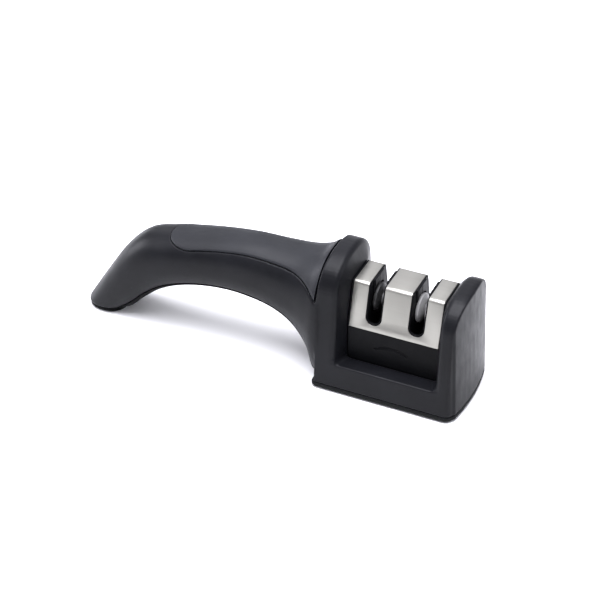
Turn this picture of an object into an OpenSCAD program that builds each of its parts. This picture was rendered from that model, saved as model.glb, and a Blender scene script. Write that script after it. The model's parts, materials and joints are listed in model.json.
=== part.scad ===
// Two-stage pull-through knife sharpener with a curved handle.
// X runs along the tool, +X towards the end wall of the head. Y is its width and Z is up.
// The origin is the centre of the tool's footprint on the table.

/* [Head] */
// Width of the head at its base
head_w = 48; // [46:1:52]
// Length of the head, from its handle face to the middle of its bowed end
head_l = 71; // [71:0.1:71.4]
// Height of the wall beside the handle
tall_wall_h = 66.4; // [65.6:0.2:67.6]
// Height of the end wall
end_wall_h = 59.6; // [58:0.2:61]
// How far the end bows out in the middle
end_bow = 2.7; // [1:0.1:3.4]
// Height of the ledge in front of the sharpening block
ledge_h = 15.5; // [15:0.1:16.5]
// Thickness of the moulded walls
wall = 2.2; // [1.8:0.1:2.4]

/* [Base] */
// Height of the base plate's rim above the table
rim_h = 3.2; // [2.8:0.1:3.6]
// How far the rubber pad stands below the base plate
pad_proud = 0.4; // [0.3:0.1:0.6]

/* [Sharpening block] */
// Length of the block between the two walls
block_l = 45.1; // [44.5:0.1:45.3]
// Half depth of the block's lower panel
block_y = 14.2; // [14:0.1:14.4]
// Height of the steel cover's top
cover_top = 55.7; // [55:0.1:57]
// Height of the steel cover's lower edge
cover_bottom = 33.6; // [33:0.1:34]
// Half depth of the steel cover at its lower edge
cover_y_bottom = 14.7; // [14.6:0.1:14.8]
// Half depth of the steel cover at its top
cover_y_top = 9.3; // [9:0.1:10]
// Thickness of the steel sheet
sheet = 0.6; // [0.5:0.1:0.8]
// Width of a knife slot in the steel
slot_w = 8; // [7:0.2:8.6]
// Distance between the two knife slots
slot_pitch = 20.8; // [19:0.2:22]
// Lowest point of a knife slot
slot_bottom = 36.3; // [36:0.1:37]
// Width of the black lip round each slot
lip = 0.7; // [0.5:0.1:0.9]

/* [Rollers] */
// Radius of a grinding wheel
wheel_r = 7; // [6.4:0.1:7.2]
// Height of the axles
axle_z = 43.2; // [42.8:0.1:43.6]
// Radius of an axle
axle_r = 1.5; // [1.3:0.1:1.6]
// Radius of the hub that carries two wheels
hub_r = 3.2; // [2.8:0.1:3.4]
// Angle that each wheel grinds, from the knife's plane
grind_angle = 20; // [15:1:22]

/* [Handle] */
// Thickness of the soft grip inlay
inlay_t = 1.6; // [1.4:0.1:1.8]
// How far the inlay stands proud of the handle
inlay_proud = 0.35; // [0.2:0.05:0.5]
// Visible depth of the cover under the handle
cover_band = 1.2; // [1:0.1:1.6]
// Height of the tail's foot
foot_h = 3; // [2.6:0.1:3.4]

/* [Hidden] */

half_w = head_w / 2;
face_lean = 0.062;                      // how much the front and back lean in, per mm of height
end_draft = 0.048;                      // how much the end leans in, per mm of height
gap = 0.3;                              // gap between separate pieces that don't fit each other
fine = 0.02;                            // radial clearance of a pressed or running fit
far = 200;                              // longer than anything in the part
black = "#2b2b2e";
soft_black = "#3a3a3d";
rubber = "#1c1c1e";
steel = "#c4c4bd";

// Places across the head
block_x0 = 12.9;                        // the block's handle side
block_x1 = block_x0 + block_l;
block_mid = (block_x0 + block_x1) / 2;
pocket_x0 = block_x0 - gap;
pocket_x1 = block_x1 + gap;
pocket_y = block_y + gap;
flare_x0 = 8.8;                         // where the walls' inner sides meet the front
flare_x1 = 60.7;
flange_y = 17;                          // half depth of the block's flange, under the ledge
flange_z0 = 11;
flange_z1 = 13;
ledge_under = flange_z1 + 0.2;          // underside of the ledge
coarse_x = block_mid - slot_pitch / 2;
fine_x = block_mid + slot_pitch / 2;

// Places of the fasteners
base_screw_x = [5.2, 65];
base_screw_y = 13;
boss_top = 24;
pilot_r = 1.3;
screw_r = 1.25;
screw_head_r = 2.6;
under_screw_x = [-50, -117.2];          // one under the arch and one in the foot

// ---------- curves ----------

// Catmull-Rom interpolation of a list of rows, at t from 0 to the last row
function spline(rows, t) =
    let (n = len(rows) - 1, i = min(floor(t), n - 1), u = t - i,
         a = rows[max(i - 1, 0)], b = rows[i], c = rows[i + 1], d = rows[min(i + 2, n)])
    0.5 * (2 * b + (c - a) * u + (2 * a - 5 * b + 4 * c - d) * u * u + (3 * b - a - 3 * c + d) * u * u * u);

function signed_pow(a, p) = sign(a) * pow(abs(a), p);

function arc(cx, cy, r, a0, a1, n) =
    [for (i = [0:n]) let (a = a0 + (a1 - a0) * i / n) [cx + r * cos(a), cy + r * sin(a)]];

// ---------- handle ----------

// Sections from the head to the tail: top x and z, lower edge x and z, half width
stations = [
    [3.6, 66, 0.6, 2.8, 23.2],
    [-1, 64.2, -3.6, 8.6, 22.5],
    [-6, 60.8, -8.2, 19.2, 20.4],
    [-14, 58.8, -16.8, 27, 17.4],
    [-27, 58.2, -29, 31.7, 15.3],
    [-42, 57.9, -45, 33.7, 14.4],
    [-58, 55.9, -60, 32.9, 14.3],
    [-73, 53.1, -75, 29.5, 14.4],
    [-87, 50.3, -87, 24.3, 14.4],
    [-98.5, 46.4, -96.5, 17.2, 14.3],
    [-108.8, 36.8, -104, 9.9, 14],
    [-119.6, 20.8, -109.5, 5.5, 13.4],
    [-130.8, 3, -112.5, 3, 12.6]];
station_n = len(stations) - 1;
tail_x = stations[station_n][0];        // end of the tail
shift_x = -(head_l + tail_x) / 2;       // puts the origin at the middle of the length
squareness = 2.4;                       // exponent of the section's superellipse
seam_a = -40;                           // where the lower edge is, round the section
seam_v = signed_pow(sin(seam_a), 2 / squareness);
rings_per_station = 3;
ring_pts = 20;

function station(t) = spline(stations, t);
function section_centre(s) =
    let (f = -seam_v / (1 - seam_v)) [s[2] + (s[0] - s[2]) * f, s[3] + (s[1] - s[3]) * f];
function section_up(s) = ([s[0], s[1]] - [s[2], s[3]]) / (1 - seam_v);

// Point of the section at angle a, moved inwards by d
function section_point(s, a, d) =
    let (c = section_centre(s), up = section_up(s), r = norm(up),
         k = (r - d) / r * signed_pow(sin(a), 2 / squareness),
         y = (s[4] - d) * signed_pow(cos(a), 2 / squareness))
    [c[0] + up[0] * k, y, c[1] + up[1] * k];

// Solid through rings of the same number of points, each ring a closed loop
module loft(rings) {
    n = len(rings[0]);
    m = len(rings) - 1;
    points = [for (r = rings) each r];
    sides = [for (j = [0:m - 1], i = [0:n - 1])
             [j * n + i, (j + 1) * n + i, (j + 1) * n + (i + 1) % n, j * n + (i + 1) % n]];
    split = [for (q = sides) each [[q[2], q[1], q[0]], [q[3], q[2], q[0]]]];
    half = n / 2;
    // a ring goes out along one side and back along the other, so its caps are strips
    strip = [for (i = [0:half - 2]) [i, i + 1, n - 2 - i, n - 1 - i]];
    first = [for (q = strip) each [[q[2], q[1], q[0]], [q[3], q[2], q[0]]]];
    last = [for (q = first) [q[2] + m * n, q[1] + m * n, q[0] + m * n]];
    polyhedron(points, concat(split, first, last), convexity = 6);
}

// Band between two depths below the surface, over half_angle each side of the top
function band_ring(s, half_angle, outer, inner) = concat(
    [for (i = [0:ring_pts - 1])
        section_point(s, 90 - half_angle + 2 * half_angle * i / (ring_pts - 1), outer)],
    [for (i = [ring_pts - 1:-1:0])
        section_point(s, 90 - half_angle + 2 * half_angle * i / (ring_pts - 1), inner)]);

module handle_shell()
    loft([for (j = [0:station_n * rings_per_station])
          band_ring(station(j / rings_per_station), 90 - seam_a, 0, wall)]);

// The inlay covers the top of the handle, from the head to a round end above the palm
inlay_start = 0.75;                     // in stations, just behind the head
inlay_end = 7.75;
inlay_round = 1.1;                      // length of its round end
inlay_near = 68;                        // half angle beside the head
inlay_far = 51;                         // half angle along the handle
inlay_dip = 7.5;                        // how much that shrinks over the middle of the palm
inlay_rings = 24;
function inlay_t_at(j) = inlay_start + (inlay_end - inlay_start) * sin(90 * j / inlay_rings);
function inlay_angle(t) =
    let (e = max(0, (t - inlay_end + inlay_round) / inlay_round),
         dip = abs(t - 4.2) < 2.6 ? inlay_dip * cos(90 * (t - 4.2) / 2.6) : 0,
         widen = (inlay_near - inlay_far) * pow(max(0, 1 - (t - inlay_start) / 2.6), 1.2))
    max(4, (inlay_far - dip + widen) * sqrt(max(0, 1 - e * e)));

module inlay(grow, outer, inner)
    loft([for (j = [0:inlay_rings])
          let (t = inlay_t_at(j)) band_ring(station(t), inlay_angle(t) + grow, outer, inner)]);

module grip_inlay()
    color(soft_black) inlay(0, -inlay_proud, inlay_t - inlay_proud);

// Cover under the handle: a strip that follows the lower edge, and the foot of the tail
cover_edge = 0.4;                       // how far the strip stands in from the shell's edge
cover_core = wall + 0.35;               // and how far its core does
cover_start = 0.86;                     // in stations, just clear of the head
function seam_half_w(s) = s[4] * signed_pow(cos(seam_a), 2 / squareness);
function cover_point(s, y, q) =
    let (u = section_up(s) / norm(section_up(s))) [s[2] + u[0] * q, y, s[3] + u[1] * q];

// Section of the cover: a shallow dish below the edge, with a raised core that fits inside the shell
function cover_ring(s) =
    let (e = seam_half_w(s) - cover_edge, c = seam_half_w(s) - cover_core, b = cover_band,
         side = [[e - 5, -b], [e - 2, -0.85 * b], [e - 0.6, -0.6 * b],
                 [e, -0.3], [e, -0.05], [c, 0.02], [c, 1.5]])
    concat([for (p = side) cover_point(s, p[0], p[1])],
           [for (i = [len(side) - 1:-1:0]) cover_point(s, -side[i][0], side[i][1])]);
cover_t1 = station_n - 0.5;
cover_rings = 30;
function cover_t(j) = cover_start + (cover_t1 - cover_start) * j / cover_rings;

function foot_outline(inset) =
    let (s = stations[station_n])
    [for (i = [0:35]) let (p = section_point(s, i * 10, inset)) [p[0], p[1]]];

module foot()
    intersection() {
        union() {
            hull() {
                translate([0, 0, 1]) linear_extrude(foot_h - 1.05) polygon(foot_outline(cover_edge));
                linear_extrude(foot_h - 0.05) polygon(foot_outline(cover_edge + 1));
            }
            linear_extrude(foot_h + 1.4) polygon(foot_outline(cover_core));
        }
        translate([-far / 2 - 110.5, 0, 0]) cube([far, far, far], center = true);
    }

module handle_under_cover()
    color(rubber) difference() {
        union() {
            loft([for (j = [0:cover_rings]) cover_ring(station(cover_t(j)))]);
            foot();
        }
        for (x = under_screw_x) under_screw_place(x) {
            translate([0, 0, -0.5]) cylinder(r = screw_head_r + 0.2, h = 2.1, $fn = 32);
            cylinder(r = screw_r + 0.2, h = 12, $fn = 32);
        }
    }

// The screws stand upright, with their heads sunk in the cover
under_screw_z = [33.6 - cover_band, 0];
module under_screw_place(x) {
    i = x == under_screw_x[0] ? 0 : 1;
    translate([x, 0, under_screw_z[i]]) children();
}

module under_cover_screws()
    color(steel) for (x = under_screw_x) under_screw_place(x) difference() {
        union() {
            translate([0, 0, 0.5]) cylinder(r = screw_head_r, h = 1, $fn = 32);
            translate([0, 0, 1.5]) cylinder(r = screw_r, h = 9, $fn = 32);
        }
        cross_recess(0.5);
    }

module cross_recess(z)
    for (a = [0, 90]) rotate([0, 0, a]) translate([-1.5, -0.25, z - 0.01]) cube([3, 0.5, 0.61]);

// ---------- head ----------

// Half width of the head's front and back faces at height z
function face_y(z) = half_w - face_lean * (z - rim_h);

// Section of the head across X: leaning sides, then an arch of the given height and squareness
function head_section(top, arch_h, power) =
    let (z = top - arch_h, y = face_y(z),
         right = [for (i = [0:14]) let (a = 90 * i / 14)
                  [y * pow(cos(a), 2 / power), z + arch_h * pow(sin(a), 2 / power)]],
         left = [for (i = [13:-1:0]) [-right[i][0], right[i][1]]])
    concat([[half_w, rim_h]], right, left, [[-half_w, rim_h]]);

// Outline of the head from above, with its bowed end
corner_r = 4;
function bow_x(y) = head_l - end_bow * pow(y / half_w, 2);
function plan_outline(inset, x0 = 0, r0 = 0.01) =
    let (y = half_w - inset, r = corner_r, x = x0 + inset)
    concat(arc(x + r0, -y + r0, r0, -180, -90, 3),
           arc(bow_x(y) - inset - r, -y + r, r, -90, -14, 4),
           [for (i = [-4:4]) let (b = i / 4 * (y - r)) [bow_x(b) - inset, b]],
           arc(bow_x(y) - inset - r, y - r, r, 14, 90, 4),
           arc(x + r0, y - r0, r0, 90, 180, 3));

module along_x(x0, x1) translate([x0, 0, 0]) rotate([90, 0, 90]) linear_extrude(x1 - x0) children();

// The handle's end of the head leans in above this height, by this much at the top
handle_lean_z = 48;
handle_lean = 1;

// How far a wall's arch stands in at each place along it: its two edges are rounded
tall_rounds = [[0, 0], [7.7, 0], [8.8, 0.35], [9.8, 1.5]];
end_rounds = [[59.7, 1.5], [60.7, 0.35], [61.8, 0], [66, 0], [67.8, 0.3], [69, 1.2], [70.1, 2.8],
              [head_l + 0.3, 5]];

// One wall: its arch, narrowing to the block's outline at the pocket
module wall_shape(rounds, pocket_x, section)
    hull() {
        for (q = rounds) along_x(q[0] - 0.02, q[0] + 0.02) offset(delta = -q[1]) polygon(section);
        along_x(pocket_x - 0.02, pocket_x + 0.02) polygon([[-pocket_y, rim_h], [pocket_y, rim_h],
            [pocket_y, cover_bottom], [cover_y_top, cover_top],
            [-cover_y_top, cover_top], [-pocket_y, cover_bottom]]);
    }

// The solid head. inset makes the smaller shape that hollows it
module head_blank(inset) {
    intersection() {
        // the bowed end leans in
        translate([0, 0, rim_h]) rotate([0, -atan(end_draft), 0]) translate([0, 0, -8])
            linear_extrude(tall_wall_h + 8) polygon(plan_outline(inset, -8));
        // side view: the handle's end leans in near its top
        rotate([90, 0, 0]) translate([0, 0, -half_w]) linear_extrude(head_w) polygon([
            [inset, 0], [head_l, 0], [head_l, far], [handle_lean + inset, far],
            [handle_lean + inset, tall_wall_h - inset], [inset, handle_lean_z]]);
        if (inset > 0)
            low_box(inset, 2);
        else
            union() {
                wall_shape(tall_rounds, pocket_x0, head_section(tall_wall_h, 17, 2.3));
                wall_shape(end_rounds, pocket_x1, head_section(end_wall_h, 17, 2.5));
                low_box(0, 0);
            }
    }
}

// The head up to its ledges
module low_box(inset, deeper)
    along_x(inset, head_l) polygon([
        [half_w - inset, rim_h - deeper], [face_y(ledge_h) - inset, ledge_h - inset],
        [-face_y(ledge_h) + inset, ledge_h - inset], [-half_w + inset, rim_h - deeper]]);

// Hollows under the ledges and inside both walls
module hollows()
    difference() {
        union() {
            intersection() {
                head_blank(wall);
                cube([far, far, 2 * ledge_under], center = true);
            }
            // inside the tall wall, and inside the end wall
            hull() {
                translate([wall + 0.2, -17, 5.3]) cube([flare_x0 - 2 * wall, 34, 1]);
                translate([wall + 0.2, -14, 54]) cube([flare_x0 - 2 * wall, 28, 1]);
            }
            hull() {
                translate([flare_x1 + wall, -17, 5.3]) cube([4.3, 34, 1]);
                translate([flare_x1 + wall - 1, -14, 49]) cube([3.4, 28, 1]);
            }
        }
        // bosses for the base screws, and for the screws of the retainer
        for (x = base_screw_x, y = [-1, 1]) translate([x, y * base_screw_y, 6])
            cylinder(r = 2.9, h = far, $fn = 24);
        for (x = retainer_x, y = [-1, 1]) translate([x, y * retainer_y, flange_z0 + 0.1])
            cylinder(r = 2, h = far, $fn = 24);
    }

// The moulded shell: the head, the handle and the bosses inside them
module housing()
    color(black) difference() {
        union() {
            difference() {
                head_blank(0);
                hollows();
            }
            difference() {
                handle_shell();
                translate([wall * 0.55, -far, -far]) cube([far, 2 * far, 2 * far]);
            }
            under_bosses();
        }
        inlay(0.4, -3, inlay_t - inlay_proud + 0.05);
        // the block stands in a pocket through the ledge
        translate([pocket_x0, -pocket_y, 0]) cube([pocket_x1 - pocket_x0, 2 * pocket_y, far]);
        for (x = base_screw_x, y = [-1, 1]) translate([x, y * base_screw_y, 0])
            cylinder(r = pilot_r, h = boss_top, $fn = 24);
        for (x = under_screw_x) under_screw_place(x)
            cylinder(r = pilot_r, h = 13, $fn = 24);
        for (x = retainer_x, y = [-1, 1]) translate([x, y * retainer_y, 0])
            cylinder(r = 1, h = ledge_under + 0.8, $fn = 24);
    }

// Bosses inside the handle for the under cover's screws, each a post down from the shell's roof
under_boss_z = [[37.2, 55.6], [4.8, 18.2]];
module under_bosses()
    for (i = [0, 1]) translate([under_screw_x[i], 0, under_boss_z[i][0]])
        cylinder(r = 3, h = under_boss_z[i][1] - under_boss_z[i][0], $fn = 24);

// ---------- base ----------

base_gap = 0.15;
base_x0 = -1.7;                         // the plate's handle end, under the foot of the flare
module base_plate()
    color(rubber) difference() {
        union() {
            hull() {
                translate([0, 0, 1]) linear_extrude(rim_h - 1 - base_gap)
                    polygon(plan_outline(0, base_x0, 2.4));
                translate([0, 0, pad_proud]) linear_extrude(1) polygon(plan_outline(0.6, base_x0, 2.4));
            }
            // a spigot that centres the plate in the housing, and posts up to the retainer
            translate([0, 0, rim_h - 1]) linear_extrude(3) polygon(plan_outline(wall + gap));
            for (x = [block_x0 + 10, block_x1 - 10], y = [-9, 9])
                translate([x, y, 3]) cylinder(r = 2, h = retainer_z - 3.1, $fn = 32);
        }
        // the spigot is a rim round an open middle
        difference() {
            translate([0, 0, rim_h - base_gap]) linear_extrude(10) polygon(plan_outline(2 * wall + gap));
            for (x = base_screw_x, y = [-1, 1]) translate([x, y * base_screw_y, 0])
                cylinder(r = 4.4, h = 5.7, $fn = 32);
            for (x = [block_x0 + 10, block_x1 - 10], y = [-9, 9])
                translate([x, y, 0]) cylinder(r = 2, h = far, $fn = 32);
        }
        // seat of the rubber pad
        translate([0, 0, -1]) linear_extrude(1 + 1.2) polygon(pad_outline(-0.05));
        for (x = base_screw_x, y = [-1, 1]) translate([x, y * base_screw_y, 0]) {
            cylinder(r = screw_r + 0.2, h = 10, $fn = 32);
            translate([0, 0, -1]) cylinder(r = screw_head_r + 0.2, h = 4, $fn = 32);
        }
    }

// The pad keeps inside the four screws
function pad_outline(inset) =
    let (x0 = 10 + inset, x1 = 60 - inset, y = 20 - inset, r = 4)
    concat(arc(x1 - r, y - r, r, 0, 90, 6), arc(x0 + r, y - r, r, 90, 180, 6),
           arc(x0 + r, -y + r, r, 180, 270, 6), arc(x1 - r, -y + r, r, 270, 360, 6));

module base_pad()
    color(rubber) linear_extrude(1.15) polygon(pad_outline(0));

module base_screws()
    color(steel) for (x = base_screw_x, y = [-1, 1]) translate([x, y * base_screw_y, 0]) difference() {
        union() {
            translate([0, 0, 1.9]) cylinder(r = screw_head_r, h = 1.1, $fn = 32);
            translate([0, 0, 3]) cylinder(r = screw_r, h = 16, $fn = 32);
        }
        cross_recess(1.9);
    }

// ---------- sharpening block ----------

cover_slope = (cover_y_bottom - cover_y_top) / (cover_top - cover_bottom);
bend_r = 2;                             // outer radius of the steel's two bends
slots = [coarse_x, fine_x];
block_flap = cover_bottom - 0.15;       // where the block steps in under the steel
skin = sheet + 0.05;

// The steel's outer section from one lower edge over the top to the other, d inside it
function cover_curve(d) =
    let (lean = atan(cover_slope), r = bend_r - d, turn = 90 - lean,
         cy = cover_y_top - bend_r * tan(turn / 2),
         right = concat([[cover_y_bottom - d / cos(lean), cover_bottom]],
                        arc(cy, cover_top - bend_r, r, lean, 90, 6)),
         n = len(right))
    concat(right, [for (i = [n - 1:-1:0]) [-right[i][0], right[i][1]]]);

// Block outline across X: flange, panel, and the slope that the steel lies on
module block_section(d)
    polygon(concat([[-flange_y, flange_z0], [flange_y, flange_z0],
                    [flange_y, flange_z1], [block_y, flange_z1],
                    [block_y, block_flap]], cover_curve(d),
                   [[-block_y, block_flap], [-block_y, flange_z1], [-flange_y, flange_z1]]));

// A knife slot's shape from the front: round bottom, open at the top
module slot_shape(half)
    union() {
        translate([0, slot_bottom + slot_w / 2]) circle(r = half, $fn = 48);
        translate([-half, slot_bottom + slot_w / 2]) square([2 * half, far]);
    }

module slot_cut(x, half, y0, y1)
    translate([x, y1, 0]) rotate([90, 0, 0]) linear_extrude(y1 - y0) slot_shape(half);

module x_cylinder(x0, x1, r, z, y = 0)
    translate([x0, y, z]) rotate([0, 90, 0]) cylinder(r = r, h = x1 - x0, $fn = 64);

chamber_half = 4.4;                     // half length of a wheel chamber
chamber_r = wheel_r + 0.8;
axle_half = 7.4;
cheek = 0.7;                            // width of the rims at the block's two ends
throat = 0.7;                           // how much each slot narrows round the wheels
throat_y = 5.4;                         // half length of that narrow stretch
inner_half = slot_w / 2 - lip;
well_z = 28.5;                          // floor of the well under each slot, which takes the swarf
well_y = 12.3;                          // half length of the well, behind the slot's lips

module block()
    difference() {
        union() {
            along_x(block_x0, block_x1) block_section(skin);
            // rims at both ends, flush with the steel
            for (x = [block_x0, block_x1 - cheek]) along_x(x, x + cheek) block_section(0);
            // lips round the slots, flush with the steel
            for (x = slots) intersection() {
                along_x(block_x0 + 1, block_x1 - 1) block_section(0);
                slot_cut(x, slot_w / 2 - 0.08, -20, 20);
            }
        }
        for (x = slots) {
            slot_cut(x, inner_half, throat_y, 20);
            slot_cut(x, inner_half, -20, -throat_y);
            slot_cut(x, inner_half - throat, -throat_y - 1, throat_y + 1);
            translate([x - inner_half, -well_y, well_z])
                cube([2 * inner_half, 2 * well_y, slot_bottom + 4 - well_z]);
            x_cylinder(x - chamber_half, x + chamber_half, chamber_r, axle_z);
            x_cylinder(x - axle_half, x + axle_half, axle_r + fine, axle_z);
        }
        // tabs of the steel cover lie in these grooves
        for (y = [-1, 1]) translate([block_mid, y * (cover_y_bottom - 1.6), cover_bottom + sheet / 2])
            cube([block_l - 2 * cheek + 0.1, 4.2, sheet + 0.1], center = true);
        // hollow underside, to save material
        translate([block_x0 + 3, -block_y + 3.4, 0]) cube([block_l - 6, 2 * block_y - 6.8, 24]);
        // round ends of the dowel holes
        for (x = dowel_x) dowel_at(x, dowel_r + fine, dowel_half + 0.2);
        finger_arch();
    }

// Shallow arch moulded in the front panel and the back one
arch_w = 16.4;
arch_depth = 0.5;
module finger_arch()
    for (y = [-1, 1]) translate([block_mid - 1, y * block_y, 20]) rotate([90, 0, 0])
        translate([0, 0, -arch_depth]) linear_extrude(2 * arch_depth) difference() {
            translate([0, -8.7]) circle(r = 14.9, $fn = 96);
            translate([0, -10.6]) circle(r = 15.7, $fn = 96);
            translate([-20, -40]) square([40, 43.4]);
        }

dowel_x = [block_mid - 19.4, block_mid, block_mid + 19.4];
dowel_r = 1;
dowel_half = 3.4;
dowel_z = 29;
module dowel_at(x, r, half)
    translate([x, half, dowel_z]) rotate([90, 0, 0]) cylinder(r = r, h = 2 * half, $fn = 32);

module half_space(side)
    translate([-far / 2, side > 0 ? fine / 2 : -far - fine / 2, -1]) cube([far, far, far]);

module block_front() color(black) intersection() { block(); half_space(-1); }
module block_back() color(black) intersection() { block(); half_space(1); }
module block_dowels() color(steel) for (x = dowel_x) dowel_at(x, dowel_r, dowel_half);

module steel_cover()
    color(steel) difference() {
        union() {
            along_x(block_x0 + cheek + 0.05, block_x1 - cheek - 0.05) difference() {
                polygon(cover_curve(0));
                polygon(cover_curve(sheet));
                translate([-cover_y_top, cover_bottom - 1])
                    square([2 * cover_y_top, cover_top - cover_bottom - 3]);
            }
            // inward tabs along the lower edges hold the cover on the block
            for (y = [-1, 1]) translate([block_mid, y * (cover_y_bottom - 1.5), cover_bottom + sheet / 2])
                cube([block_l - 2 * cheek - 0.1, 2.6, sheet], center = true);
        }
        for (x = slots) slot_cut(x, slot_w / 2, -20, 20);
    }

// Retainer: a plate under the block that the base plate's posts press up
retainer_x = [block_x0 - 2.6, block_x1 + 2.4];
retainer_y = 16.4;
retainer_z = 8.8;
retainer_t = 2;
module block_retainer()
    color(black) difference() {
        union() {
            translate([block_x0 - 4.4, -18.6, retainer_z]) cube([block_l + 8.2, 37.2, retainer_t]);
            for (x = [block_x0 + 4.5, block_x1 - 4.5])
                translate([x - 1, -8, retainer_z + 1]) cube([2, 16, 9]);
        }
        translate([block_x0 + 7, -13, 0]) cube([block_l - 14, 26, 20]);
        for (x = retainer_x, y = [-1, 1]) translate([x, y * retainer_y, 0])
            cylinder(r = 1.2, h = 20, $fn = 32);
    }

module retainer_screws()
    color(steel) for (x = retainer_x, y = [-1, 1]) translate([x, y * retainer_y, retainer_z]) difference() {
        union() {
            translate([0, 0, -1.1]) cylinder(r = 1.9, h = 1.1, $fn = 32);
            cylinder(r = 0.95, h = 4.9, $fn = 32);
        }
        translate([0, 0, -1.1]) cross_recess(0);
    }

// ---------- rollers ----------

v_half = 0.3;                           // half the gap between two wheels at the hub
bevel = (wheel_r - hub_r) * tan(grind_angle);
wheel_out = 3.3;                        // outer face of a wheel, from the slot's middle
hub_half = 3.7;
washer_t = 0.5;

// A wheel with its ground bevel towards the middle of the slot; side is -1 or 1
module wheel(x, side)
    translate([x, 0, axle_z]) rotate([0, side * 90, 0]) rotate_extrude($fn = 96) polygon([
        [hub_r + fine, v_half], [wheel_r, v_half + bevel], [wheel_r, wheel_out - 0.4],
        [wheel_r - 0.4, wheel_out], [hub_r + fine, wheel_out]]);

module hub(x)
    difference() {
        x_cylinder(x - hub_half, x + hub_half, hub_r, axle_z);
        x_cylinder(x - hub_half - 1, x + hub_half + 1, axle_r + 0.04, axle_z);
    }

module washers(x)
    for (side = [-1, 1]) difference() {
        x_cylinder(x + side * (hub_half + 0.05 + washer_t / 2) - washer_t / 2,
                   x + side * (hub_half + 0.05 + washer_t / 2) + washer_t / 2, 3, axle_z);
        x_cylinder(x - 9, x + 9, axle_r + 0.04, axle_z);
    }

module axle(x) x_cylinder(x - axle_half + 0.1, x + axle_half - 0.1, axle_r, axle_z);

module coarse_axle() color(steel) axle(coarse_x);
module coarse_hub() color(black) hub(coarse_x);
module coarse_wheel_left() color("#6f7073") wheel(coarse_x, -1);
module coarse_wheel_right() color("#6f7073") wheel(coarse_x, 1);
module coarse_washers() color(steel) washers(coarse_x);
module fine_axle() color(steel) axle(fine_x);
module fine_hub() color(black) hub(fine_x);
module fine_wheel_left() color("#d9d9d4") wheel(fine_x, -1);
module fine_wheel_right() color("#d9d9d4") wheel(fine_x, 1);
module fine_washers() color(steel) washers(fine_x);

// Every piece is drawn from the head's handle face, then moved to the origin
module placed() translate([shift_x, 0, 0]) children();

placed() housing();
placed() grip_inlay();
placed() handle_under_cover();
placed() under_cover_screws();
placed() base_plate();
placed() base_pad();
placed() base_screws();
placed() block_front();
placed() block_back();
placed() block_dowels();
placed() steel_cover();
placed() coarse_axle();
placed() coarse_hub();
placed() coarse_wheel_left();
placed() coarse_wheel_right();
placed() coarse_washers();
placed() fine_axle();
placed() fine_hub();
placed() fine_wheel_left();
placed() fine_wheel_right();
placed() fine_washers();
placed() block_retainer();
placed() retainer_screws();
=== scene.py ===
"""Two-stage pull-through knife sharpener: the looks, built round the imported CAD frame."""

import json
import math

import bmesh
import bpy
import numpy as np
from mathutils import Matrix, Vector


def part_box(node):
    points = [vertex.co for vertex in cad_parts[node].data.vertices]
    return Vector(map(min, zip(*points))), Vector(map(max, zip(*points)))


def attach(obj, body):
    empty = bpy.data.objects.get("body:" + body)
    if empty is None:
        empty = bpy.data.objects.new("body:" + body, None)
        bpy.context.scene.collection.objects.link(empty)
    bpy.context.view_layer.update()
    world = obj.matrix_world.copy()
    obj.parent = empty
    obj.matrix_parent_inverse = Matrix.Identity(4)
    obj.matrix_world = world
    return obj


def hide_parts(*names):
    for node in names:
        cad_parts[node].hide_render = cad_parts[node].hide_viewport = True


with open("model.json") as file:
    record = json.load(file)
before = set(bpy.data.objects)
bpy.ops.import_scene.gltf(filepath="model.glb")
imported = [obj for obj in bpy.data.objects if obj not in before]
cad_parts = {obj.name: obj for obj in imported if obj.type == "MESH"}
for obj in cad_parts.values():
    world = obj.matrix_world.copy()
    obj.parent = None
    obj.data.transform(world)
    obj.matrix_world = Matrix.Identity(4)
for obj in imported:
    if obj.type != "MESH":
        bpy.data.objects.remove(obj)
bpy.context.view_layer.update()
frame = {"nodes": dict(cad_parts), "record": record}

MM = 0.001

# The design's own X runs from the head's handle face, so it is shifted into the frame
STEEL_START = 13.65 * MM
HEAD_X0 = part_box("steel_cover")[0][0] - STEEL_START


# ---------- helpers: nodes ----------


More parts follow.
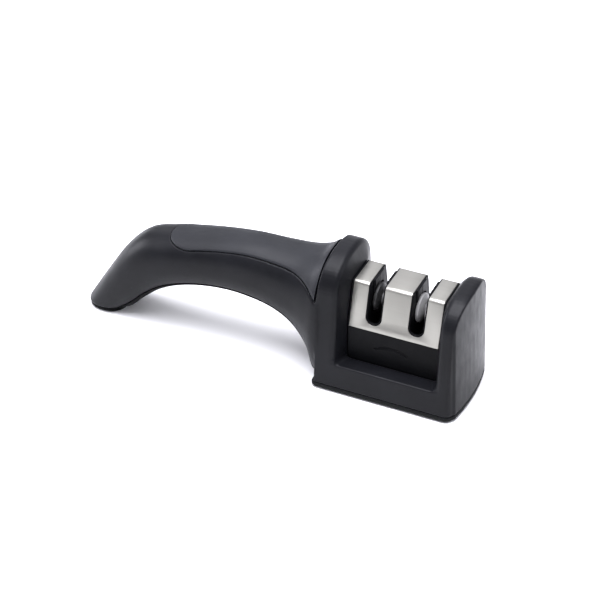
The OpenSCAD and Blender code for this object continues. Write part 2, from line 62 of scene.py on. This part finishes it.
class Nodes:
    """A small wrapper for building a material's node tree."""

    def __init__(self, name):
        self.mat = bpy.data.materials.new(name)
        self.mat.use_nodes = True
        self.tree = self.mat.node_tree
        self.tree.nodes.clear()
        self.out = self.add("ShaderNodeOutputMaterial")
        self.shader = self.add("ShaderNodeBsdfPrincipled")
        self.link(self.shader.outputs[0], self.out.inputs["Surface"])
        self.coords = self.add("ShaderNodeTexCoord").outputs["Object"]

    def add(self, kind, **props):
        node = self.tree.nodes.new(kind)
        for key, value in props.items():
            setattr(node, key, value)
        return node

    def link(self, a, b):
        self.tree.links.new(a, b)

    def put(self, value, socket):
        if isinstance(value, bpy.types.NodeSocket):
            self.link(value, socket)
        else:
            socket.default_value = value

    def mapping(self, scale):
        node = self.add("ShaderNodeMapping")
        self.link(self.coords, node.inputs["Vector"])
        node.inputs["Scale"].default_value = scale
        return node.outputs[0]

    def noise(self, scale, detail, rough=0.55, stretch=(1, 1, 1)):
        node = self.add("ShaderNodeTexNoise")
        self.link(self.mapping(stretch), node.inputs["Vector"])
        node.inputs["Scale"].default_value = scale
        node.inputs["Detail"].default_value = detail
        node.inputs["Roughness"].default_value = rough
        return node.outputs[0]

    def voronoi(self, scale):
        node = self.add("ShaderNodeTexVoronoi")
        self.link(self.coords, node.inputs["Vector"])
        node.inputs["Scale"].default_value = scale
        return node.outputs[0]

    def span(self, value, low, high, start, end):
        """Maps start..end of the value to low..high."""
        node = self.add("ShaderNodeMapRange")
        self.link(value, node.inputs["Value"])
        node.inputs["From Min"].default_value = start
        node.inputs["From Max"].default_value = end
        node.inputs["To Min"].default_value = low
        node.inputs["To Max"].default_value = high
        return node.outputs[0]

    def mix(self, factor, a, b):
        node = self.add("ShaderNodeMix", data_type="RGBA")
        self.put(factor, node.inputs[0])
        self.put(a, node.inputs[6])
        self.put(b, node.inputs[7])
        return node.outputs[2]

    def math(self, operation, a, b):
        node = self.add("ShaderNodeMath", operation=operation)
        self.put(a, node.inputs[0])
        self.put(b, node.inputs[1])
        return node.outputs[0]

    def bump(self, *layers):
        """Each layer is (height, distance in metres, strength), the finest first."""
        normal = None
        for height, distance, strength in layers:
            node = self.add("ShaderNodeBump")
            node.inputs["Strength"].default_value = strength
            node.inputs["Distance"].default_value = distance
            self.link(height, node.inputs["Height"])
            if normal is not None:
                self.link(normal, node.inputs["Normal"])
            normal = node.outputs[0]
        self.link(normal, self.shader.inputs["Normal"])

    def set(self, **sockets):
        for key, value in sockets.items():
            self.put(value, self.shader.inputs[key.replace("_", " ")])
        return self


# ---------- materials ----------


def grey(value, warm=0.0, green=0.0):
    """A near grey; warm tips it from blue to red and green adds green, both as shares."""
    return (value * (1 + warm), value * (1 + green), value * (1 - warm), 1.0)


# Pointiness is 0.5 on a flat surface: wear sets in at the first value and is full at the second
WEAR_FROM, WEAR_FULL = 0.52, 0.60
WEAR_AMOUNT, WEAR_LIFT = 0.4, 2.1


def edge_wear(n):
    """0 on flat surfaces, up to WEAR_AMOUNT on convex edges, broken up by noise."""
    point = n.add("ShaderNodeNewGeometry").outputs["Pointiness"]
    edge = n.span(point, 0.0, WEAR_AMOUNT, WEAR_FROM, WEAR_FULL)
    return n.math("MULTIPLY", edge, n.span(n.noise(260, 2), 0.3, 1.0, 0.4, 0.65))


def plastic(name, base, light, rough, grain_mm=0.45, depth=0.012, spec=0.4):
    """Moulded plastic with a fine spark-eroded grain, faint handling marks and rubbed edges."""
    n = Nodes(name)
    cloud = n.noise(38, 4, 0.6)
    speck = n.noise(2400, 2, 0.6)
    tone = n.mix(n.span(cloud, 0, 1, 0.35, 0.7), base, light)
    tone = n.mix(n.span(speck, 0, 0.35, 0.55, 0.75), tone, light)
    lifted = tuple(min(1.0, c * WEAR_LIFT) for c in light[:3]) + (1.0,)
    tone = n.mix(edge_wear(n), tone, lifted)
    smear = n.noise(90, 5, 0.65, (1, 2.5, 1))
    n.set(Base_Color=tone, Roughness=n.span(smear, rough - 0.07, rough + 0.08, 0.3, 0.7))
    n.set(Specular_IOR_Level=spec)
    n.bump(
        (n.voronoi(1.0 / (grain_mm * MM)), depth * MM, 0.55),
        (n.noise(1400, 3, 0.7), 0.01 * MM, 0.4),
        (n.noise(60, 2, 0.5), 0.05 * MM, 0.25),
    )
    return n.mat


# The noise scale of the hairlines, how much broader the coarse ones are, and each axis's stretch
HAIRLINES, COARSER = 5200, 7
ALONG = {"X": (0.018, 1, 1), "Z": (1, 1, 0.018)}


def brushed(name, tone, dark, along, rough):
    """Brushed stainless steel: fine hairlines along one axis, with soft cloudy patches."""
    n = Nodes(name)
    hair = n.noise(HAIRLINES, 4, 0.75, ALONG[along])
    coarse = n.noise(HAIRLINES / COARSER, 3, 0.6, ALONG[along])
    cloud = n.noise(55, 3, 0.55)
    lines = n.math("ADD", n.math("MULTIPLY", hair, 0.6), n.math("MULTIPLY", coarse, 0.4))
    color = n.mix(n.span(lines, 0, 1, 0.36, 0.64), dark, tone)
    color = n.mix(n.span(cloud, 0, 0.25, 0.35, 0.7), color, dark)
    n.set(Base_Color=color, Metallic=1.0)
    n.set(Roughness=n.span(lines, rough - 0.06, rough + 0.1, 0.35, 0.65))
    n.bump((hair, 0.0035 * MM, 0.5), (coarse, 0.006 * MM, 0.35))
    return n.mat


HOUSING = plastic(
    "housing_plastic", grey(0.0038, -0.14, -0.1), grey(0.0066, -0.14, -0.1), 0.38, spec=0.115
)
GRIP = plastic(
    "grip_rubber", grey(0.008, -0.14, -0.08), grey(0.0118, -0.14, -0.08), 0.5, 0.3, 0.008, spec=0.2
)
TRIM = plastic("trim_plastic", grey(0.0018, -0.1), grey(0.003, -0.1), 0.5, spec=0.045)
BASE = plastic("base_plastic", grey(0.0034, -0.1), grey(0.0055, -0.1), 0.55, spec=0.095)
PAD = plastic("pad_rubber", grey(0.007), grey(0.011), 0.78, 0.6, 0.03, spec=0.18)
BLOCK = plastic(
    "block_plastic", grey(0.0026, -0.1, -0.06), grey(0.0042, -0.1, -0.06), 0.42, spec=0.06
)
STEEL = brushed("cover_steel", grey(0.29, 0.055, 0.035), grey(0.262, 0.055, 0.035), "X", 0.38)
AXLE = brushed("axle_steel", grey(0.5), grey(0.38), "X", 0.25)
SCREW = brushed("screw_steel", grey(0.45), grey(0.32), "Z", 0.3)
HUB = plastic("hub_plastic", grey(0.06), grey(0.08), 0.5)


def grit(name, base, light, grain_mm, depth_mm, rough, metallic):
    """Bonded abrasive: packed grains, coloured with painted glints on their facets and painted
    shade in the pits between them.
    """
    n = Nodes(name)
    cells = n.voronoi(1.0 / (grain_mm * MM))
    fine = n.noise(4200, 3, 0.7)
    # Painted glint and painted shade: each grain is lighter at its middle and darker towards the
    # pits at its edges
    tone = n.mix(n.span(cells, 0, 1, 0.15, 0.75), light, base)
    # Painted glints: fine flecks lifted towards the lighter tone
    tone = n.mix(n.span(fine, 0, 0.4, 0.45, 0.7), tone, light)
    n.set(Base_Color=tone, Metallic=metallic)
    n.set(Roughness=n.span(fine, rough - 0.1, rough + 0.1, 0.3, 0.7))
    n.bump((cells, depth_mm * MM, 0.7), (fine, 0.01 * MM, 0.5))
    return n.mat


COARSE = grit("coarse_abrasive", grey(0.016), grey(0.045), 0.16, 0.05, 0.5, 0.4)
FINE = grit("fine_ceramic", grey(0.21, 0.01), grey(0.27, 0.01), 0.10, 0.012, 0.45, 0.0)

SLOT_MATERIAL = {
    "housing": HOUSING,
    "grip": GRIP,
    "trim": TRIM,
    "base": BASE,
    "pad": PAD,
    "block": BLOCK,
    "cover_steel": STEEL,
    "axle_steel": AXLE,
    "screw_steel": SCREW,
    "hub": HUB,
    "coarse_abrasive": COARSE,
    "fine_ceramic": FINE,
}

slot_of = {s["node"]: s["material_slot"] for s in frame["record"]["subparts"]}
body_of = {n: b for b, ns in frame["record"]["behaviour"]["bodies"].items() for n in ns}

# The CAD nodes that no piece stands for show as they are, in their slot's material
for name, node in frame["nodes"].items():
    node.data.materials.clear()
    node.data.materials.append(SLOT_MATERIAL[slot_of[name]])


# ---------- helpers: meshes ----------


def new_object(name, mesh, material):
    obj = bpy.data.objects.new(name, mesh)
    bpy.context.collection.objects.link(obj)
    mesh.materials.clear()
    mesh.materials.append(material)
    return obj


def bake(obj):
    """Replaces the object's mesh by what its modifiers make of it."""
    graph = bpy.context.evaluated_depsgraph_get()
    graph.update()
    made = bpy.data.meshes.new_from_object(obj.evaluated_get(graph))
    materials = list(obj.data.materials)
    obj.modifiers.clear()
    obj.data = made
    made.materials.clear()
    for material in materials:
        made.materials.append(material)
    return obj


def cut(obj, cutter):
    mod = obj.modifiers.new("cut", "BOOLEAN")
    mod.operation, mod.object, mod.solver = "DIFFERENCE", cutter, "EXACT"
    bake(obj)
    bpy.data.objects.remove(cutter)


def join(name, objs, material):
    """One mesh from several, with the sources removed."""
    bm = bmesh.new()
    for obj in objs:
        bm.from_mesh(obj.data)
        bpy.data.objects.remove(obj)
    mesh = bpy.data.meshes.new(name)
    bm.to_mesh(mesh)
    bm.free()
    return new_object(name, mesh, material)


def smooth_shading(obj, limit_deg=None):
    obj.data.shade_smooth()
    if limit_deg:
        obj.data.set_sharp_from_angle(angle=math.radians(limit_deg))
    return obj


def soften(obj, voxel, rounds, keep=1.0):
    """Fuses overlapping solids and gives every edge the small round of a moulding.

    voxel is the grain in mm, rounds the smoothing passes and keep the share of faces kept."""
    grain = voxel * 1.0
    mod = obj.modifiers.new("fuse", "REMESH")
    mod.mode, mod.voxel_size = "VOXEL", grain * MM
    mod = obj.modifiers.new("relax", "SMOOTH")
    mod.factor, mod.iterations = 0.5, rounds
    if keep < 1:
        mod = obj.modifiers.new("thin", "DECIMATE")
        mod.ratio = keep
    bake(obj)
    return smooth_shading(obj)


def copy_of(node):
    source = frame["nodes"][node]
    obj = new_object(node + "_piece", source.data.copy(), SLOT_MATERIAL[slot_of[node]])
    obj.matrix_world = source.matrix_world.copy()
    return obj


WELD = 0.001 * MM
FLAT_DEG = 0.8


def merged(obj):
    """Welds the copy's split corners and dissolves the triangles of its flat faces."""
    bm = bmesh.new()
    bm.from_mesh(obj.data)
    bmesh.ops.remove_doubles(bm, verts=bm.verts, dist=WELD)
    flat = math.radians(FLAT_DEG)
    bmesh.ops.dissolve_limit(bm, angle_limit=flat, verts=bm.verts, edges=bm.edges)
    bm.to_mesh(obj.data)
    bm.free()
    if obj.data.has_custom_normals:
        with bpy.context.temp_override(object=obj, active_object=obj, selected_objects=[obj]):
            bpy.ops.mesh.customdata_custom_splitnormals_clear()
    return obj


# Edges sharper than the first angle are eased, and those sharper than the second are shaded sharp
EDGE_DEG, CREASE_DEG = 30, 40


def eased(obj, width):
    """A small round, width mm across, on every sharp edge of a stamped or machined piece."""
    mod = obj.modifiers.new("ease", "BEVEL")
    mod.width, mod.segments = width * MM, 2
    mod.limit_method, mod.angle_limit = "ANGLE", math.radians(EDGE_DEG)
    mod.miter_outer = "MITER_ARC"
    mod.harden_normals = False
    bake(obj)
    return smooth_shading(obj, CREASE_DEG)


def stands_for(obj, *nodes):
    """The piece rides on its nodes' body and hides them."""
    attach(obj, body_of[nodes[0]])
    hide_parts(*nodes)
    return obj


def moulded(node, voxel, rounds, keep=1.0):
    return stands_for(soften(merged(copy_of(node)), voxel, rounds, keep), node)


def machined(node, width):
    return stands_for(eased(merged(copy_of(node)), width), node)


# ---------- the handle's surface ----------

# The same stations as the CAD, in mm from the head's face:
# the top's x and z, the lower edge's x and z, and the half width
STATIONS = np.array([
    [3.6, 66, 0.6, 2.8, 23.2],
    [-1, 64.2, -3.6, 8.6, 22.5],
    [-6, 60.8, -8.2, 19.2, 20.4],
    [-14, 58.8, -16.8, 27, 17.4],
    [-27, 58.2, -29, 31.7, 15.3],
    [-42, 57.9, -45, 33.7, 14.4],
    [-58, 55.9, -60, 32.9, 14.3],
    [-73, 53.1, -75, 29.5, 14.4],
    [-87, 50.3, -87, 24.3, 14.4],
    [-98.5, 46.4, -96.5, 17.2, 14.3],
    [-108.8, 36.8, -104, 9.9, 14],
    [-119.6, 20.8, -109.5, 5.5, 13.4],
    [-130.8, 3, -112.5, 3, 12.6],
])
LAST = len(STATIONS) - 1
# The section is a superellipse of this power, and the parting line runs at this angle
SQUARE = 2.4
SEAM = math.radians(-40)


def signed_pow(value, power):
    return math.copysign(abs(value) ** power, value)


SEAM_V = signed_pow(math.sin(SEAM), 2 / SQUARE)


def station(t):
    """The stations' row at a place between them, by a Catmull-Rom spline."""
    i = min(int(t), LAST - 1)
    u = t - i
    a, b, c, d = (STATIONS[min(max(k, 0), LAST)] for k in (i - 1, i, i + 1, i + 2))
    square, cube = 2 * a - 5 * b + 4 * c - d, 3 * b - a - 3 * c + d
    return 0.5 * (2 * b + (c - a) * u + square * u * u + cube * u**3)


def skin_point(t, angle, depth):
    """A point of the handle's section at an angle in degrees, a depth in mm below its surface."""
    s = station(t)
    top, low = s[:2], s[2:4]
    up = (top - low) / (1 - SEAM_V)
    centre = low - up * SEAM_V
    radius = np.linalg.norm(up)
    a = math.radians(angle)
    k = (radius - depth) / radius * signed_pow(math.sin(a), 2 / SQUARE)
    y = (s[4] - depth) * signed_pow(math.cos(a), 2 / SQUARE)
    x, z = centre + up * k
    return (HEAD_X0 + x * MM, y * MM, z * MM)


def loft(name, rings, material):
    """A closed solid through rings of points, with a face at each end."""
    count = len(rings[0])
    points = [p for ring in rings for p in ring]
    faces = []
    for j in range(len(rings) - 1):
        for i in range(count):
            k = (i + 1) % count
            faces.append((j * count + i, j * count + k, (j + 1) * count + k, (j + 1) * count + i))
    half = count // 2
    for base in (0, (len(rings) - 1) * count):
        for i in range(half - 1):
            faces.append(tuple(base + q for q in (i, i + 1, count - 2 - i, count - 1 - i)))
    mesh = bpy.data.meshes.new(name)
    mesh.from_pydata(points, [], faces)
    bm = bmesh.new()
    bm.from_mesh(mesh)
    bmesh.ops.recalc_face_normals(bm, faces=bm.faces)
    bm.to_mesh(mesh)
    bm.free()
    return new_object(name, mesh, material)


def band(t, half_angle, outer, inner, steps):
    """A ring over half_angle each side of the top, between two depths."""
    angles = [90 - half_angle + 2 * half_angle * i / (steps - 1) for i in range(steps)]
    way_out = [skin_point(t, a, outer) for a in angles]
    way_back = [skin_point(t, a, inner) for a in reversed(angles)]
    return way_out + way_back


# The grip inlay's outline, as in the CAD
INLAY_START, INLAY_END, INLAY_ROUND = 0.75, 7.75, 1.1
INLAY_NEAR, INLAY_FAR, INLAY_DIP = 68, 51, 7.5
INLAY_WAIST, INLAY_REACH = 4.2, 2.6
INLAY_FLARE = 1.2
INLAY_TIP = 4.0
INLAY_PROUD, INLAY_T = 0.35, 1.6


def inlay_angle(t):
    """The inlay's half angle at a place: wide at the head, a waist, and a round end."""
    past_end = max(0.0, (t - INLAY_END + INLAY_ROUND) / INLAY_ROUND)
    from_waist = (t - INLAY_WAIST) / INLAY_REACH
    dip = INLAY_DIP * math.cos(math.pi / 2 * from_waist) if abs(from_waist) < 1 else 0.0
    near_head = max(0.0, 1 - (t - INLAY_START) / INLAY_REACH) ** INLAY_FLARE
    half = INLAY_FAR - dip + (INLAY_NEAR - INLAY_FAR) * near_head
    return max(INLAY_TIP, half * math.sqrt(max(0.0, 1 - past_end * past_end)))


def inlay_places(count, start=INLAY_START):
    """Places along the inlay, closer together towards its round end."""
    run = INLAY_END - start
    return [start + run * math.sin(math.pi / 2 * j / count) for j in range(count + 1)]


# ---------- housing ----------

STEPS_ROUND, STEPS_LONG = 72, 150
# The skin over the CAD's handle: where it starts, how far it stands proud and how thick it is
SKIN_START, SKIN_PROUD, SKIN_T = 0.42, 0.10, 1.4
# The pocket is wider than the inlay by this angle, and its cutter reaches this far out
POCKET_MORE = 1.6
POCKET_OUT, POCKET_STEPS, POCKET_ROWS = 3, 40, 60
LEDGE_Z = 15.5
FILL_R, FILL_STEPS = 2.6, 8
# The root lies inside the walls, with a small slope that keeps its points apart
FILL_ROOT, ROOT_SLOPE = 0.8, 0.02
# The foot of each wall's inner side, from the head's front in to the block: x and y of both ends
WALL_FEET = [((9.6, 23.0), (12.5, 14.6), 1), ((59.9, 23.0), (58.4, 14.6), -1)]


def corner_fill(front, back, way):
    """A concave round where a ledge meets a wall, from the head's front in to the block.

    front and back are (x, y) in mm along the wall's foot; way is the side of the ledge."""
    steps = range(FILL_STEPS + 1)
    arc = [math.pi / 2 * i / FILL_STEPS for i in steps]
    round_side = [(FILL_R * (1 - math.cos(a)), FILL_R * (1 - math.sin(a))) for a in arc]
    root = [(ROOT_SLOPE * i - FILL_ROOT, ROOT_SLOPE * (FILL_STEPS - i) - FILL_ROOT) for i in steps]
    rings = []
    for x, y in (front, back):
        ring = round_side[::-1] + root
        rings.append([(HEAD_X0 + (x + way * u) * MM, y * MM, (LEDGE_Z + v) * MM) for u, v in ring])
    return loft("corner_fill", rings, HOUSING)


def make_housing():
    """The moulded shell: a skin over the CAD's handle, the pocket and the ledges' rounds."""
    places = [SKIN_START + (LAST - SKIN_START) * j / STEPS_LONG for j in range(STEPS_LONG + 1)]
    half = 90 - math.degrees(SEAM)
    rings = [band(t, half, -SKIN_PROUD, SKIN_T - SKIN_PROUD, STEPS_ROUND) for t in places]
    skin = loft("handle_skin", rings, HOUSING)
    rings = [
        band(t, inlay_angle(t) + POCKET_MORE, -POCKET_OUT, INLAY_T - INLAY_PROUD, POCKET_STEPS)
        for t in inlay_places(POCKET_ROWS)
    ]
    cut(skin, loft("pocket", rings, HOUSING))
    fills = []
    for side in (-1, 1):
        for front, back, way in WALL_FEET:
            ends = [(x, y * side) for x, y in (front, back)]
            fills.append(corner_fill(*ends, way))
    body = merged(copy_of("housing"))
    shell = join("moulded_housing", [body, skin, *fills], HOUSING)
    return stands_for(soften(shell, voxel=0.38, rounds=9), "housing")


# ---------- grip inlay ----------

# A gap is left between the inlay and the head's wall, which shows as a fine dark line
INLAY_GAP = 0.16
# The inlay's underside stays this far above the pocket's floor
INLAY_SHY = 0.1
# The rim rolls down over this width, to this depth, and is shaded sharp above this angle
ROLL, ROLL_DEPTH, ROLL_DEG = 0.9, 0.85, 50
INLAY_ROWS, INLAY_COLS = 130, 48


def rolled(gap):
    """How far the rim has sunk at a distance from the outline, both in mm."""
    if gap >= ROLL:
        return 0.0
    return ROLL_DEPTH * (1 - math.sqrt(max(0.0, 1 - (1 - gap / ROLL) ** 2)))


def make_inlay():
    """The soft inlay: a thick skin whose rim rolls down into the handle's pocket."""
    rings = []
    end = np.array(skin_point(INLAY_END, 90, 0))
    for t in inlay_places(INLAY_ROWS, INLAY_START + INLAY_GAP):
        half = inlay_angle(t)
        angles = [90 - half + 2 * half * i / (INLAY_COLS - 1) for i in range(INLAY_COLS)]
        outline = [np.array(skin_point(t, a, 0)) for a in (angles[0], angles[-1])] + [end]
        outer = []
        for a in angles:
            p = np.array(skin_point(t, a, 0))
            gap = min(np.linalg.norm(p - q) for q in outline) / MM
            outer.append(skin_point(t, a, rolled(gap) - INLAY_PROUD))
        inner = [skin_point(t, a, INLAY_T - INLAY_PROUD - INLAY_SHY) for a in reversed(angles)]
        rings.append(outer + inner)
    inlay = smooth_shading(loft("grip_inlay_skin", rings, GRIP), ROLL_DEG)
    return stands_for(inlay, "grip_inlay")


# ---------- the cover under the handle ----------

# The lip's run along the handle, its angles in the section, how far it stands out and how thick
LIP_START, LIP_END = 0.9, LAST - 0.2
LIP_ANGLES = [-41.5 - 3.5 * i for i in range(5)]
LIP_PROUD, LIP_T = 0.42, 1.32
LIP_STEPS = 110


def make_under_cover():
    """The cover under the handle, with the lip that stands a little proud of the housing."""
    places = [LIP_START + (LIP_END - LIP_START) * j / LIP_STEPS for j in range(LIP_STEPS + 1)]
    lips = []
    for angles in (LIP_ANGLES, [180 - a for a in LIP_ANGLES]):
        rings = []
        for t in places:
            outer = [skin_point(t, a, -LIP_PROUD) for a in angles]
            inner = [skin_point(t, a, LIP_T - LIP_PROUD) for a in reversed(angles)]
            rings.append(outer + inner)
        lips.append(loft("cover_lip", rings, TRIM))
    body = merged(copy_of("handle_under_cover"))
    cover = join("under_cover_skin", [body, *lips], TRIM)
    return stands_for(soften(cover, voxel=0.35, rounds=3), "handle_under_cover")


# ---------- every piece ----------

make_housing()
make_inlay()
make_under_cover()
moulded("base_plate", voxel=0.35, rounds=2)
for node in ("block_front", "block_back"):
    moulded(node, voxel=0.26, rounds=2, keep=0.45)
machined("steel_cover", width=0.1)
for node in ("under_cover_screws", "base_screws", "retainer_screws"):
    machined(node, width=0.1)
machined("block_retainer", width=0.25)
for stage_name in ("coarse", "fine"):
    for side in ("left", "right"):
        machined(f"{stage_name}_wheel_{side}", width=0.15)
    machined(f"{stage_name}_hub", width=0.15)


# ---------- stage, lights and camera ----------

# A slightly blue white, which gives the black plastics their cool tone
STUDIO_WHITE = (0.975, 0.975, 1.045)


def softbox(name, place, target, size, power):
    """A square light of the given side in metres, turned to its target."""
    data = bpy.data.lights.new(name, "AREA")
    data.shape, data.size = "SQUARE", size
    data.energy, data.color = power, STUDIO_WHITE
    light = bpy.data.objects.new(name, data)
    bpy.context.collection.objects.link(light)
    light.location = place
    light.rotation_euler = (Vector(target) - Vector(place)).to_track_quat("-Z", "Y").to_euler()


# The floor's half side in metres, and how far it lies below the pad
FLOOR_REACH = 6.0
FLOOR_GAP = 0.2 * MM


def make_floor():
    """A pale studio floor, just under the rubber pad."""
    n = Nodes("pale_floor")
    cloud = n.span(n.noise(6, 2), 0, 1, 0.3, 0.7)
    n.set(Base_Color=n.mix(cloud, grey(0.8), grey(0.82)), Roughness=0.9, Specular_IOR_Level=0.1)
    r = FLOOR_REACH
    mesh = bpy.data.meshes.new("floor")
    mesh.from_pydata([(-r, -r, 0), (r, -r, 0), (r, r, 0), (-r, r, 0)], [], [(0, 1, 2, 3)])
    floor = new_object("floor", mesh, n.mat)
    floor.location.z = -FLOOR_GAP


# The studio sky's brightness at the horizon and overhead
SKY_LOW, SKY_HIGH = 0.44, 1.08


def make_sky():
    """A plain studio sky that brightens from the horizon up."""
    world = bpy.data.worlds.new("studio")
    world.use_nodes = True
    nodes, links = world.node_tree.nodes, world.node_tree.links
    direction = nodes.new("ShaderNodeTexCoord")
    height = nodes.new("ShaderNodeSeparateXYZ")
    strength = nodes.new("ShaderNodeMapRange")
    strength.inputs["To Min"].default_value = SKY_LOW
    strength.inputs["To Max"].default_value = SKY_HIGH
    links.new(direction.outputs["Generated"], height.inputs[0])
    links.new(height.outputs[2], strength.inputs["Value"])
    links.new(strength.outputs[0], nodes["Background"].inputs[1])
    nodes["Background"].inputs[0].default_value = (*STUDIO_WHITE, 1)
    bpy.context.scene.world = world


make_floor()
make_sky()

MIDDLE = (0.0, 0.0, 0.035)
softbox("overhead", (-0.03, -0.06, 0.85), MIDDLE, 0.7, 19)
softbox("back", (-0.6, 1.0, 0.78), MIDDLE, 1.1, 3)
softbox("side", (1.1, 0.35, 0.45), MIDDLE, 0.6, 3.6)
softbox("left", (-1.2, -0.1, 0.4), MIDDLE, 0.7, 13)

# The view that the fitted camera gave, as an orbit round a point beside the head's handle end
AZIMUTH, ELEVATION, DISTANCE = 24.57, 35.49, 0.8161
LENS_MM, SENSOR_MM = 107.25, 36.0
TARGET = Vector((HEAD_X0 - 6.91 * MM, -22.55 * MM, 46.42 * MM))


def make_camera():
    turn, rise = math.radians(AZIMUTH), math.radians(ELEVATION)
    flat = math.cos(rise)
    toward = Vector((math.sin(turn) * flat, -math.cos(turn) * flat, math.sin(rise)))
    data = bpy.data.cameras.new("camera")
    data.lens, data.sensor_width = LENS_MM, SENSOR_MM
    camera = bpy.data.objects.new("camera", data)
    camera.location = TARGET + toward * DISTANCE
    camera.rotation_euler = (-toward).to_track_quat("-Z", "Y").to_euler()
    bpy.context.collection.objects.link(camera)
    bpy.context.scene.camera = camera


make_camera()
bpy.context.scene.view_settings.view_transform = "Standard"
